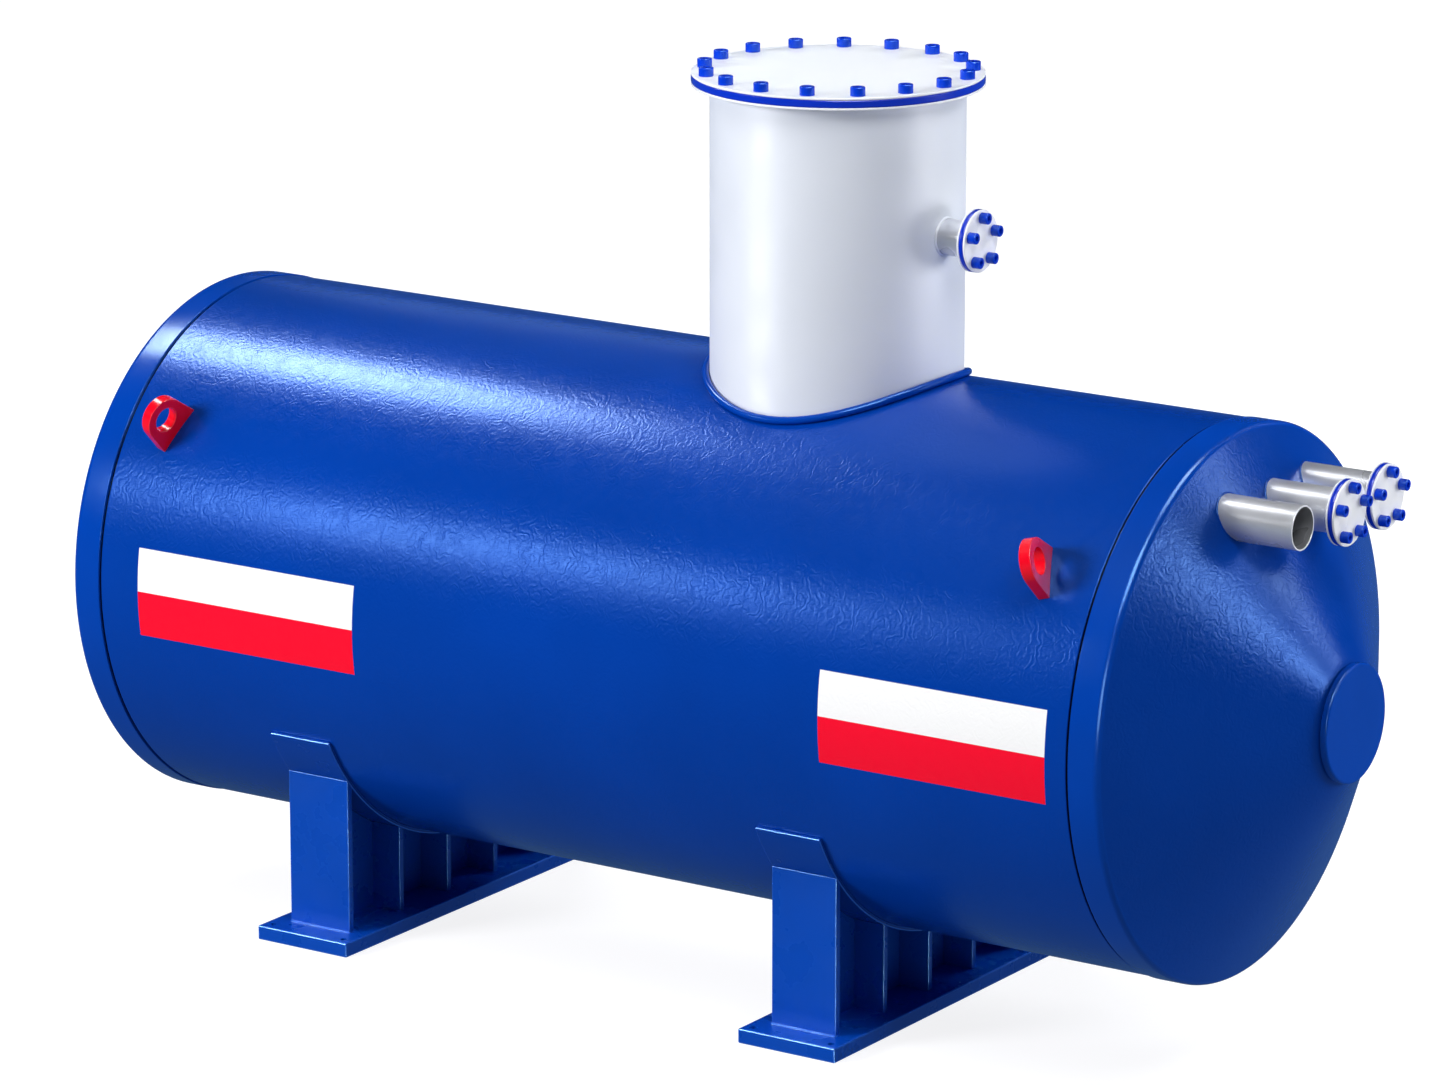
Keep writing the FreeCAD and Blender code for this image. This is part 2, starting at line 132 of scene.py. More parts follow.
# mesh making: points nearer than the first merge, edges sharper than the second are
# rounded, and edges sharper than the third aren't shaded smooth
MERGE_DISTANCE = 2e-5
SHARP_ANGLE = math.radians(35.0)
SMOOTH_ANGLE = math.radians(38.0)

# faces of a CAD plate that meet at less than this are one flat face
FLAT_ANGLE = math.radians(1.0)

# where an outline gets an extra point beside a rounding, and how long a side must be
# for that, both as multiples of the rounding's reach along the side
SUPPORT_REACH = 1.5
SUPPORT_ROOM = 4

# points round a circle
BARREL_SECTIONS = 256
NECK_SECTIONS = 192
DISC_SECTIONS = 128
PIPE_SECTIONS = 96
BEAD_SECTIONS = 240

# points along the rounded edge beside the cone, along the cone, and along a saddle pad
END_EDGE_STEPS = 13
CONE_STEPS = 24
PAD_STEPS = 98

# which faces get another paint: a pipe's cut end, painted lighter as a painted highlight,
# by how much it faces along X, its inside, painted darker as a painted shade, by a margin
# on the radius, and a pad's rounded edges, painted lighter as a painted highlight, by how
# they face outward
CUT_END_FACING = 0.3
BORE_MARGIN = 0.0002
PAD_EDGE_FACING = (0.15, 0.97)

# smallest rounding of a pad's section near its ends, and how far its last ring closes
PAD_LEAST_ROUNDING = 0.0003
PAD_CLOSING = 0.999


# ---- places read from the CAD nodes ----------------------------------------
barrel_low, barrel_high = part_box("barrel_shell")
radius = round(barrel_high.y, 3)
axis_z = round((barrel_low.z + barrel_high.z) / 2, 3)
band_start = round(barrel_high.x, 4)
half_barrel = band_start - GROOVE_WIDTH
band_end = band_start + BAND_LENGTH
band_radius = round(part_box("right_end_band")[1].y, 3)
disc_low, disc_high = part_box("right_end_disc")
cone_tip_x = disc_low.x
neck_low, neck_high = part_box("neck_shell")
neck_x = round((neck_low.x + neck_high.x) / 2, 4)
neck_radius = round(neck_high.y, 3)


# ---- mesh helpers ----------------------------------------------------------
def shaded(mesh):
    """The mesh, shaded smooth but for its sharp edges."""
    mesh.shade_smooth()
    mesh.set_sharp_from_angle(angle=SMOOTH_ANGLE)
    return mesh


def mesh_of(name, points, faces):
    """A mesh of the points and faces with all its normals outward."""
    mesh = bpy.data.meshes.new(name)
    mesh.from_pydata([tuple(p) for p in points], [], [tuple(f) for f in faces])
    mesh.validate()
    check = bmesh.new()
    check.from_mesh(mesh)
    bmesh.ops.recalc_face_normals(check, faces=check.faces)
    check.to_mesh(mesh)
    check.free()
    return shaded(mesh)


def skin(rings, closed=False):
    """Points and faces of a surface through rings of points.

    A closed one joins its last ring to its first; otherwise both ends get a flat fan.
    """
    rings = np.asarray(rings, float)
    count, around = rings.shape[:2]
    points = list(rings.reshape(-1, 3))
    faces = []
    last = count if closed else count - 1
    for i in range(last):
        here = i * around
        there = ((i + 1) % count) * around
        for k in range(around):
            step = (k + 1) % around
            faces.append((here + k, here + step, there + step, there + k))
    if not closed:
        for i in (0, count - 1):
            middle = len(points)
            points.append(rings[i].mean(0))
            for k in range(around):
                faces.append((i * around + k, i * around + (k + 1) % around, middle))
    return points, faces


def joined(parts):
    """One list of points and faces from several."""
    points, faces = [], []
    for more_points, more_faces in parts:
        shift = len(points)
        points.extend(more_points)
        faces.extend([tuple(i + shift for i in face) for face in more_faces])
    return points, faces


def rounded(corners, rounding, steps=4, supported=False):
    """A closed outline of (along, out) corners, rounded by one size or by a list of them.

    Extra points just off each rounding keep the flats beside it flat in the shading;
    a short side gets them only where supported is set.
    """
    result = []
    count = len(corners)
    sizes = rounding if isinstance(rounding, (list, tuple)) else [rounding] * count
    for i, size in enumerate(sizes):
        here = Vector(corners[i])
        back = Vector(corners[i - 1]) - here
        ahead = Vector(corners[(i + 1) % count]) - here
        if size == 0:
            result.append(tuple(here))
            continue
        half = back.angle(ahead) / 2
        reach = size / math.tan(half)
        centre = here + (back.normalized() + ahead.normalized()).normalized() * (size / math.sin(half))
        start = here + back.normalized() * reach - centre
        end = here + ahead.normalized() * reach - centre
        sweep = start.angle(end)
        if supported or back.length > SUPPORT_ROOM * reach:
            result.append(tuple(here + back.normalized() * reach * SUPPORT_REACH))
        for k in range(steps + 1):
            t = k / steps
            arm = start * math.sin((1 - t) * sweep) + end * math.sin(t * sweep)
            result.append(tuple(centre + arm / math.sin(sweep)))
        if supported or ahead.length > SUPPORT_ROOM * reach:
            result.append(tuple(here + ahead.normalized() * reach * SUPPORT_REACH))
    return result


def circle_angles(count):
    """Evenly spaced angles round a circle, in radians."""
    return np.arange(count) * 2 * np.pi / count


def turned_x(outline, around, y=0.0, z=axis_z):
    """Rings of an outline of (x, radius) turned about a line along X."""
    angle = circle_angles(around)
    rings = []
    for x, r in outline:
        rings.append(np.stack([np.full(around, x), y + r * np.cos(angle), z + r * np.sin(angle)], 1))
    return rings


def turned_z(outline, around, x=neck_x, y=0.0):
    """Rings of an outline of (z, radius) turned about a line along Z."""
    angle = circle_angles(around)
    rings = []
    for z, r in outline:
        rings.append(np.stack([x + r * np.cos(angle), y + r * np.sin(angle), np.full(around, z)], 1))
    return rings


def tube(path, outward, size, sections=12, ripple=0.0, seed=1):
    """A closed bead of round section along a closed path; outward is square to the path."""
    path = np.asarray(path, float)
    outward = np.asarray(outward, float)
    along = np.roll(path, -1, 0) - np.roll(path, 1, 0)
    along /= np.linalg.norm(along, axis=1)[:, None]
    across = np.cross(along, outward)
    across /= np.linalg.norm(across, axis=1)[:, None]
    up = np.cross(across, along)
    random = np.random.default_rng(seed)
    thickness = size * (1 + ripple * random.uniform(-1, 1, len(path)))
    angle = circle_angles(sections)
    rings = []
    for i in range(len(path)):
        arm = np.cos(angle)[:, None] * up[i] + np.sin(angle)[:, None] * across[i]
        rings.append(path[i] + thickness[i] * arm)
    return skin(rings, closed=True)


tank_pieces = []


def add_piece(name, shape, material, slot, *nodes):
    """Link a piece, seat it on the tank's one body and hide the CAD nodes it stands for."""
    mesh = mesh_of(name, *shape)
    piece = bpy.data.objects.new(name, mesh)
    bpy.context.scene.collection.objects.link(piece)
    mesh.materials.append(material)
    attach(piece, "root")
    if nodes:
        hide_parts(*nodes)
    tank_pieces.append(name)
    return piece


def repaint(piece, material, picked):
    """Give another material to the faces for which picked(face) is true."""
    piece.data.materials.append(material)
    number = len(piece.data.materials) - 1
    for face in piece.data.polygons:
        if picked(face):
            face.material_index = number


def cut_by(piece, shape):
    """Take a closed shape out of a piece."""
    cutter = bpy.data.objects.new("cutter", mesh_of("cutter", *shape))
    bpy.context.scene.collection.objects.link(cutter)
    cut = piece.modifiers.new("cut", "BOOLEAN")
    cut.object = cutter
    cut.solver = "EXACT"
    bpy.context.view_layer.update()
    seen = piece.evaluated_get(bpy.context.evaluated_depsgraph_get())
    mesh = bpy.data.meshes.new_from_object(seen)
    clean = bmesh.new()
    clean.from_mesh(mesh)
    bmesh.ops.remove_doubles(clean, verts=clean.verts, dist=MERGE_DISTANCE)
    bmesh.ops.dissolve_degenerate(clean, dist=MERGE_DISTANCE, edges=clean.edges)
    clean.to_mesh(mesh)
    clean.free()
    piece.modifiers.clear()
    piece.data = shaded(mesh)
    bpy.data.objects.remove(cutter)


def mark_sharp_edges(mesh, shortest):
    """Choose the edges that a bevel rounds: sharp ones that are at least this long."""
    shape = bmesh.new()
    shape.from_mesh(mesh)
    weight = shape.edges.layers.float.new("bevel_weight_edge")
    for edge in shape.edges:
        sharp = edge.is_manifold and edge.calc_face_angle() > SHARP_ANGLE
        if sharp and edge.calc_length() >= shortest:
            edge[weight] = 1.0
    shape.to_mesh(mesh)
    shape.free()


def softened(name, node, rounding, material, edge, slot, segments=3, shortest=0.0):
    """A copy of a CAD node's flat plates with its sharp edges rounded and painted lighter, a painted
    highlight.

    Edges shorter than shortest, such as those round a small hole, stay sharp.
    """
    shape = bmesh.new()
    shape.from_mesh(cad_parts[node].data)
    bmesh.ops.remove_doubles(shape, verts=shape.verts, dist=MERGE_DISTANCE)
    bmesh.ops.dissolve_limit(shape, angle_limit=FLAT_ANGLE, verts=shape.verts, edges=shape.edges)
    shape.verts.index_update()
    points = [v.co.copy() for v in shape.verts]
    faces = [[v.index for v in face.verts] for face in shape.faces]
    shape.free()
    piece = add_piece(name, (points, faces), material, slot, node)
    piece.data.materials.append(edge)
    mark_sharp_edges(piece.data, shortest)
    bevel = piece.modifiers.new("edges", "BEVEL")
    # the rounded edges take the edge material, a lighter colour that is a painted highlight
    bevel.material = 1
    bevel.width = rounding
    bevel.segments = segments
    bevel.limit_method = "WEIGHT"
    bevel.harden_normals = True
    return piece


# ---- materials -------------------------------------------------------------
class Finish:
    """One node material; its calls add nodes and return the socket to use next."""

    def __init__(self, name):
        self.material = bpy.data.materials.new(name)
        self.material.use_nodes = True
        self.tree = self.material.node_tree
        self.shader = self.tree.nodes["Principled BSDF"]
        self.place = self.tree.nodes.new("ShaderNodeTexCoord").outputs["Object"]

    def feed(self, socket, value):
        """Link the value to the socket, or set it there if it is a plain number or colour."""
        if isinstance(value, bpy.types.NodeSocket):
            self.tree.links.new(value, socket)
        else:
            socket.default_value = value

    def node(self, kind, out=0, inputs=(), **settings):
        """Add a shader node, fill its inputs and return one of its outputs."""
        made = self.tree.nodes.new("ShaderNode" + kind)
        for name, value in settings.items():
            setattr(made, name, value)
        for key, value in dict(inputs).items():
            self.feed(made.inputs[key], value)
        return made.outputs[out]

    def math(self, operation, first, second=0.0):
        """One sum, product or other operation."""
        return self.node("Math", inputs={0: first, 1: second}, operation=operation)

    def noise(self, scale, detail=2.0, roughness=0.5, distortion=0.0, place=None):
        """Soft random pattern, in object coordinates unless a place is given."""
        inputs = {
            "Vector": place or self.place,
            "Scale": scale,
            "Detail": detail,
            "Roughness": roughness,
            "Distortion": distortion,
        }
        return self.node("TexNoise", "Fac", inputs)

    def spread(self, value, low, high, out_low, out_high):
        """The value's range from low to high, spread over another one."""
        inputs = {
            "Value": value,
            "From Min": low,
            "From Max": high,
            "To Min": out_low,
            "To Max": out_high,
        }
        return self.node("MapRange", "Result", inputs)

    def blend(self, factor, first, second):
        """The first colour where the factor is 0, the second where it is 1."""
        made = self.tree.nodes.new("ShaderNodeMix")
        made.data_type = "RGBA"
        self.feed(made.inputs[0], factor)
        self.feed(made.inputs[6], first)
        self.feed(made.inputs[7], second)
        return made.outputs[2]

    def bump(self, height, strength, distance):
        """Relief in the shading, without a change of shape."""
        inputs = {"Height": height, "Strength": strength, "Distance": distance}
        self.feed(self.shader.inputs["Normal"], self.node("Bump", "Normal", inputs))

    def between(self, value, low, high, edge):
        """1 where value lies between low and high, with a soft edge."""
        rise = self.spread(value, low - edge, low + edge, 0.0, 1.0)
        fall = self.spread(value, high - edge, high + edge, 1.0, 0.0)
        return self.math("MULTIPLY", rise, fall)

    def set(self, **values):
        """Set plain values on the shader's own sockets."""
        for name, value in values.items():
            socket = name.replace("_", " ").title().replace("Ior", "IOR")
            self.shader.inputs[socket].default_value = value


def leather_height(finish):
    """Winding ridges like the grain of leather, stronger in patches, over a finer grain."""
    inputs = {
        "Vector": finish.place,
        "Scale": 7.5,
        "Distortion": 17.0,
        "Detail": 2.0,
        "Detail Scale": 2.5,
    }
    ridges = finish.node("TexWave", "Fac", inputs)
    fine = finish.noise(140.0, 2.0, 0.5, 0.4)
    patches = finish.spread(finish.noise(5.0, 1.0), 0.35, 0.65, 0.55, 1.0)
    ridges = finish.math("MULTIPLY", ridges, patches)
    return finish.math("ADD", finish.math("MULTIPLY", ridges, 0.8), finish.math("MULTIPLY", fine, 0.7))


def varied_colour(finish, colour, amount=0.10, scale=1.4):
    """The colour with slow, faint lighter and darker areas."""
    r, g, b = colour
    dark = (r * (1 - amount), g * (1 - amount), b * (1 - amount), 1)
    light = (min(1, r * (1 + amount)), min(1, g * (1 + amount)), min(1, b * (1 + amount)), 1)
    return finish.blend(finish.spread(finish.noise(scale, 3.0), 0.3, 0.7, 0.0, 1.0), dark, light)


def paint(name, colour, roughness, peel, peel_scale, variation=0.08, sheen=(1, 1, 1, 1),
          gloss_level=0.5):
    """Smooth sprayed paint with a faint peel and slow changes of colour and gloss."""
    finish = Finish(name)
    finish.feed(finish.shader.inputs["Base Color"], varied_colour(finish, colour, variation))
    gloss = finish.spread(finish.noise(7.0, 4.0), 0.3, 0.7, roughness * 0.85, roughness * 1.2)
    finish.feed(finish.shader.inputs["Roughness"], gloss)
    finish.bump(finish.noise(peel_scale, 2.0), 0.25, peel)
    finish.set(specular_tint=sheen, specular_ior_level=gloss_level)
    return finish.material


BLUE = (0.0, 0.046, 0.375)
BRIGHT_BLUE = (0.0, 0.056, 0.435)
# darker blue for the saddle pads, which face down and out: painted shade
PAD_SHADE_BLUE = (0.0, 0.040, 0.330)
# lighter blue for the saddles' rounded edges and weld beads: a painted highlight
EDGE_HIGHLIGHT_BLUE = (0.02, 0.120, 0.620)
# near black for the grooves: painted shade
GROOVE_SHADE_BLUE = (0.0, 0.003, 0.014, 1)
PANEL_WHITE = (0.98, 0.98, 0.99, 1)
PANEL_RED = (0.99, 0.001, 0.022, 1)
SILVER_DARK = (0.60, 0.62, 0.66)
SILVER_LIGHT = (0.69, 0.71, 0.76)
SHEEN = (0.30, 0.66, 1.0, 1)
FLAKE = 0.10


def with_panels_and_groove_shade(finish, colour):
    """The barrel's colour with its painted panels on both sides, and painted shade in its grooves."""
    parts = finish.tree.nodes.new("ShaderNodeSeparateXYZ")
    finish.feed(parts.inputs[0], finish.place)
    x, y, z = parts.outputs
    height = finish.math("SUBTRACT", z, axis_z)
    squares = finish.math("ADD", finish.math("POWER", y, 2.0), finish.math("POWER", height, 2.0))
    reach = finish.math("SQRT", squares)
    # painted shade: the colour turns near black just below the barrel's surface, in the grooves
    groove = finish.spread(reach, radius - GROOVE_SHADE_DEPTHS[1], radius - GROOVE_SHADE_DEPTHS[0], 1.0, 0.0)
    colour = finish.blend(groove, colour, GROOVE_SHADE_BLUE)

    left = finish.between(x, *LEFT_PANEL, PANEL_SOFTNESS)
    right = finish.between(x, *RIGHT_PANEL, PANEL_SOFTNESS)
    length = finish.math("MAXIMUM", left, right)
    angle = finish.math("ARCTAN2", height, finish.math("ABSOLUTE", y))
    upper = finish.between(angle, PANEL_SPLIT, PANEL_TOP, PANEL_SOFTNESS)
    lower = finish.between(angle, PANEL_BOTTOM, PANEL_SPLIT, PANEL_SOFTNESS)
    white = finish.math("MULTIPLY", length, upper)
    red = finish.math("MULTIPLY", length, lower)
    colour = finish.blend(white, colour, PANEL_WHITE)
    colour = finish.blend(red, colour, PANEL_RED)
    bare = finish.math("SUBTRACT", 1.0, finish.math("ADD", white, red))
    finish.feed(finish.shader.inputs["Metallic"], finish.math("MULTIPLY", bare, FLAKE))
    return colour


def textured_blue(name, panels):
    """Glossy blue enamel with a leathery skin and a trace of metal flake."""
    finish = Finish(name)
    finish.set(specular_tint=SHEEN, metallic=FLAKE)
    colour = varied_colour(finish, BLUE, 0.07)
    if panels:
        colour = with_panels_and_groove_shade(finish, colour)
    finish.feed(finish.shader.inputs["Base Color"], colour)
    gloss = finish.spread(finish.noise(26.0, 4.0), 0.3, 0.7, 0.20, 0.27)
    finish.feed(finish.shader.inputs["Roughness"], gloss)
    finish.bump(leather_height(finish), 0.21, 0.0020)
    return finish.material


def silver(name, shade_scale=1.0, metallic=0.60):
    """Satin silver metal with faint streaks along X."""
    finish = Finish(name)
    stretch = finish.node("Mapping", "Vector", {"Vector": finish.place, "Scale": (3.0, 90.0, 90.0)})
    streaks = finish.noise(1.0, 4.0, 0.6, 0.2, stretch)
    clouds = finish.noise(5.0, 2.0)
    streak_part = finish.math("MULTIPLY", streaks, 0.15)
    cloud_part = finish.math("MULTIPLY", clouds, 0.85)
    shade = finish.spread(finish.math("ADD", streak_part, cloud_part), 0.3, 0.7, 0.0, 1.0)
    dark = [part * shade_scale for part in SILVER_DARK] + [1]
    light = [part * shade_scale for part in SILVER_LIGHT] + [1]
    finish.feed(finish.shader.inputs["Base Color"], finish.blend(shade, dark, light))
    finish.feed(finish.shader.inputs["Roughness"], finish.spread(clouds, 0.3, 0.7, 0.25, 0.33))
    finish.bump(streaks, 0.03, 0.0004)
    finish.set(metallic=metallic)
    return finish.material


barrel_paint = textured_blue("barrel paint", True)
cone_paint = textured_blue("cone paint", False)

# name, colour, roughness, height and scale of the peel, variation of colour, sheen, gloss
smooth_paint = paint("smooth blue paint", BLUE, 0.20, 0.0006, 38.0, 0.08, SHEEN)
saddle_paint = paint("saddle blue paint", BRIGHT_BLUE, 0.28, 0.0003, 38.0, 0.08, SHEEN)
shaded_pad_paint = paint("saddle pad paint with painted shade", PAD_SHADE_BLUE, 0.24, 0.0004, 38.0, 0.08, SHEEN)
# lighter edge blue, a painted highlight
saddle_edge_highlight = paint("saddle edge painted highlight", EDGE_HIGHLIGHT_BLUE, 0.18, 0.0003, 38.0, 0.08, SHEEN)
neck_paint = paint("satin white paint", (0.71, 0.75, 0.83), 0.42, 0.0005, 30.0, 0.03, gloss_level=1.0)
cover_paint = paint("gloss white paint", (0.82, 0.85, 0.90), 0.34, 0.0003, 24.0, 0.02)
flange_paint = paint("flange white paint", (0.88, 0.90, 0.94), 0.25, 0.0003, 60.0, 0.03)
gasket_rubber = paint("blue gasket", (0.0, 0.026, 0.50), 0.20, 0.0003, 90.0)
bolt_coating = paint("blue bolt coating", (0.0, 0.034, 0.56), 0.20, 0.0003, 160.0, 0.08, SHEEN, 0.8)
lug_paint = paint("red lug paint", (0.93, 0.001, 0.017), 0.20, 0.0003, 70.0)
# lighter red for the lugs' rounded edges, a painted highlight
lug_edge_highlight = paint("red lug edge painted highlight", (0.97, 0.030, 0.050), 0.16, 0.0002, 70.0)

pipe_metal = silver("silver pipe")
# a darker silver for the pipes' insides, a painted shade, and a lighter, less metallic one for their cut
# ends, a painted highlight
shaded_pipe_inside = silver("pipe inside with painted shade", 0.66)
highlighted_pipe_rim = silver("pipe rim with painted highlight", 1.27, 0.10)


# ---- barrel and ends -------------------------------------------------------
def barrel():
    """Shell with a thinner tongue at each end, which makes the groove beside the band."""
    tongue = radius - GROOVE_DEPTH
    corners = [
        (-band_start, radius - SHELL_WALL),
        (-band_start, tongue),
        (-half_barrel, tongue),
        (-half_barrel, radius),
        (half_barrel, radius),
        (half_barrel, tongue),
        (band_start, tongue),
        (band_start, radius - SHELL_WALL),
    ]
    rounding = [0, 0, 0, LIP_ROUNDING, LIP_ROUNDING, 0, 0, 0]
    shape = skin(turned_x(rounded(corners, rounding), BARREL_SECTIONS), closed=True)
    piece = add_piece("barrel", shape, barrel_paint, "barrel_blue", "barrel_shell")
    # the hole under the neck, from inside the shell to above it
    hole = [(axis_z + 0.5 * radius, neck_radius), (axis_z + 1.1 * radius, neck_radius)]
    cut_by(piece, skin(turned_z(hole, NECK_SECTIONS)))


def arc_point(centre, size, angle):
    """The point of a circle at an angle, in the plane of (x, radius)."""
    return (centre[0] + size * math.cos(angle), centre[1] + size * math.sin(angle))


# the rounded edge between band and cone, in (x, radius): its centre, and where the
# cone starts outside and inside
EDGE_SETBACK = END_EDGE_RADIUS * math.tan((math.pi / 2 - CONE_SLOPE) / 2)
EDGE_INNER_RADIUS = END_EDGE_RADIUS - END_WALL
edge_centre = (band_end - EDGE_SETBACK, band_radius - END_EDGE_RADIUS)
cone_start = arc_point(edge_centre, END_EDGE_RADIUS, CONE_SLOPE)
cone_start_inner = arc_point(edge_centre, EDGE_INNER_RADIUS, CONE_SLOPE)


def cone_surface_x(reach):
    """Where the right cone's outer face lies along X at a distance from the axis."""
    return cone_start[0] + (cone_start[1] - reach) * math.tan(CONE_SLOPE)


def band(side, sign):
    """Ring between groove and cone, with the rounded edge that leads into the cone."""
    bore = edge_centre[1] + EDGE_INNER_RADIUS
    corners = [(band_start, bore), (band_start, band_radius), (edge_centre[0], band_radius)]
    lip = rounded(corners, [0, LIP_ROUNDING, 0])
    sweep = np.linspace(math.pi / 2, CONE_SLOPE, END_EDGE_STEPS)
    outer = [arc_point(edge_centre, END_EDGE_RADIUS, a) for a in sweep[1:]]
    back = [arc_point(edge_centre, EDGE_INNER_RADIUS, a) for a in sweep[::-1]]
    outline = [(sign * x, r) for x, r in lip + outer + back]
    shape = skin(turned_x(outline, BARREL_SECTIONS), closed=True)
    add_piece(side + "_band", shape, smooth_paint, "smooth_blue", side + "_end_band")


def cone(side, sign):
    """Shallow cone from the band's edge to the small disc."""
    tip_inner = cone_start_inner[1] - (cone_tip_x - cone_start_inner[0]) / math.tan(CONE_SLOPE)
    outer = [(cone_surface_x(r), r) for r in np.linspace(cone_start[1], CONE_TIP_RADIUS, CONE_STEPS)]
    outline = outer + [(cone_tip_x, tip_inner), cone_start_inner]
    shape = skin(turned_x([(sign * x, r) for x, r in outline], BARREL_SECTIONS), closed=True)
    return add_piece(side + "_cone", shape, cone_paint, "end_blue", side + "_end_cone")


def disc(side, sign):
    """Small round plate on the cone's tip."""
    size = disc_high.y
    corners = [
        (cone_tip_x, DISC_CENTRE),
        (cone_tip_x, size),
        (disc_high.x, size),
        (disc_high.x, DISC_CENTRE),
    ]
    outline = rounded(corners, [0, 0, DISC_EDGE_RADIUS, 0], 6)
    shape = skin(turned_x([(sign * x, r) for x, r in outline], DISC_SECTIONS))
    add_piece(side + "_disc", shape, smooth_paint, "smooth_blue", side + "_end_disc")


# ---- branch pipes ----------------------------------------------------------
def round_node(node):
    """Ends along X, centre and radius of a round CAD node that lies along X."""
    low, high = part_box(node)
    return low.x, high.x, (low.y + high.y) / 2, (low.z + high.z) / 2, (high.y - low.y) / 2


def washer_x(name, node, bore, rounding, material, slot):
    """Round plate along X; its two outer edges are rounded."""
    start, end, y, z, size = round_node(node)
    corners = [(start, bore), (start, size), (end, size), (end, bore)]
    rings = turned_x(rounded(corners, [0, rounding, rounding, 0]), PIPE_SECTIONS, y, z)
    add_piece(name, skin(rings, closed=bore > SMALLEST_BORE), material, slot, node)


def pipe_x(name, node, wall):
    """Pipe along X with a darker inside, a painted shade, and a lighter cut end, a painted highlight."""
    start, end, y, z, size = round_node(node)
    corners = [(start, size - wall), (start, size), (end, size), (end, size - wall)]
    rings = turned_x(rounded(corners, PIPE_END_ROUNDING, 3), PIPE_SECTIONS, y, z)
    piece = add_piece(name, skin(rings, closed=True), pipe_metal, "pipe_silver", node)

    def at_end(face):
        return abs(face.normal.x) > CUT_END_FACING

    def inside(face):
        return math.hypot(face.center.y - y, face.center.z - z) < size - wall + BORE_MARGIN

    repaint(piece, highlighted_pipe_rim, at_end)
    repaint(piece, shaded_pipe_inside, inside)
    return y, z, size


def hexagon(flats, count):
    """Distance from centre to a hexagon at evenly spaced angles."""
    angle = circle_angles(count)
    return (flats / 2) / np.cos((angle + np.pi / 6) % (np.pi / 3) - np.pi / 6)


def bolt_rings(head, height, shank, flats, depth_below):
    """Rings of a socket bolt standing along its axis with the head's underside at 0."""
    around = BOLT_SECTIONS
    chamfer = head * BOLT_CHAMFER
    corners = [
        (-depth_below, BOLT_CENTRE),
        (-depth_below, shank),
        (0, shank),
        (0, head),
        (height, head),
        (height, BOLT_CENTRE),
    ]
    outline = rounded(corners, [0, 0, 0, BOLT_FOOT_ROUNDING, chamfer, 0], 4)[:-1]
    rows = [(along, np.full(around, r)) for along, r in outline]
    socket = hexagon(flats, around)
    for depth, beyond in SOCKET_LIP:
        rows.append((height - depth, socket + beyond))
    rows.append((height - SOCKET_DEPTH * height, socket))
    angle = circle_angles(around)
    rings = []
    for along, r in rows:
        rings.append(np.stack([r * np.cos(angle), r * np.sin(angle), np.full(around, along)], 1))
    return rings


def bolt_circle(bolts, middle, size, depth_below, along_x):
    """All the bolts of one cover; middle lies on its face and size is its radius."""
    rings = bolt_rings(bolts["head"], bolts["height"], bolts["shank"], bolts["flats"], depth_below)
    circle = size - bolts["inset"]
    parts = []
    for step in range(bolts["count"]):
        angle = math.radians(bolts["start"] + 360.0 * step / bolts["count"])
        across = circle * math.cos(angle)
        up = circle * math.sin(angle)
        turn = BOLT_TURN * step
        c, s = math.cos(turn), math.sin(turn)
        placed = []
        for ring in rings:
            u = across + ring[:, 0] * c - ring[:, 1] * s
            v = up + ring[:, 0] * s + ring[:, 1] * c
            w = ring[:, 2]
            columns = [w, u, v] if along_x else [u, v, w]
            placed.append(np.stack(columns, 1) + np.array(middle))
        parts.append(skin(placed))
    return joined(parts)


def closed_nozzle(name, wall, bolts):
    """Pipe, flange, gasket, blind and bolts of a blinded branch."""
    node = name + "_nozzle_"
    part = name + "_branch_"
    y, z, size = pipe_x(part + "pipe", node + "pipe", wall)
    washer_x(part + "flange", node + "flange", size, PLATE_ROUNDING, flange_paint, "flange_white")
    washer_x(part + "gasket", node + "gasket", size - wall, GASKET_ROUNDING, gasket_rubber,
             "gasket_blue")
    washer_x(part + "blind", node + "blind", BLIND_CENTRE, COVER_ROUNDING, flange_paint, "flange_white")
    blind_low, blind_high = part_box(node + "blind")
    blind_size = (blind_high.y - blind_low.y) / 2
    depth = blind_high.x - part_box(node + "flange")[0].x
    shape = bolt_circle(bolts, (blind_high.x, y, z), blind_size, depth, True)
    add_piece(part + "bolts", shape, bolt_coating, "bolt_blue", node + "bolts")
    return y, z, size


def pipe_circle(y, z, size):
    """Points round a pipe along X as (y, z) arrays, and the directions outward from it."""
    angle = circle_angles(PIPE_SECTIONS)
    outward = np.stack([np.zeros(PIPE_SECTIONS), np.cos(angle), np.sin(angle)], 1)
    return y + size * np.cos(angle), z + size * np.sin(angle), outward


def join_to_cone(name, right_cone, y, z, size):
    """Weld ring where a pipe goes into the cone, and the hole in the cone."""
    across, up, outward = pipe_circle(y, z, size)
    reach = np.hypot(across, up - axis_z)
    path = np.stack([cone_surface_x(reach), across, up], 1)
    shape = tube(path, outward, CONE_WELD_RADIUS, ripple=CONE_WELD_RIPPLE, seed=3)
    # the weld ring takes the pads' darker blue, the painted shade
    add_piece(name, shape, shaded_pad_paint, "end_blue")
    bore = size - PIPE_HOLE_INSET
    hole = [(half_barrel, bore), (cone_tip_x, bore)]
    cut_by(right_cone, skin(turned_x(hole, PIPE_SECTIONS, y, z)))


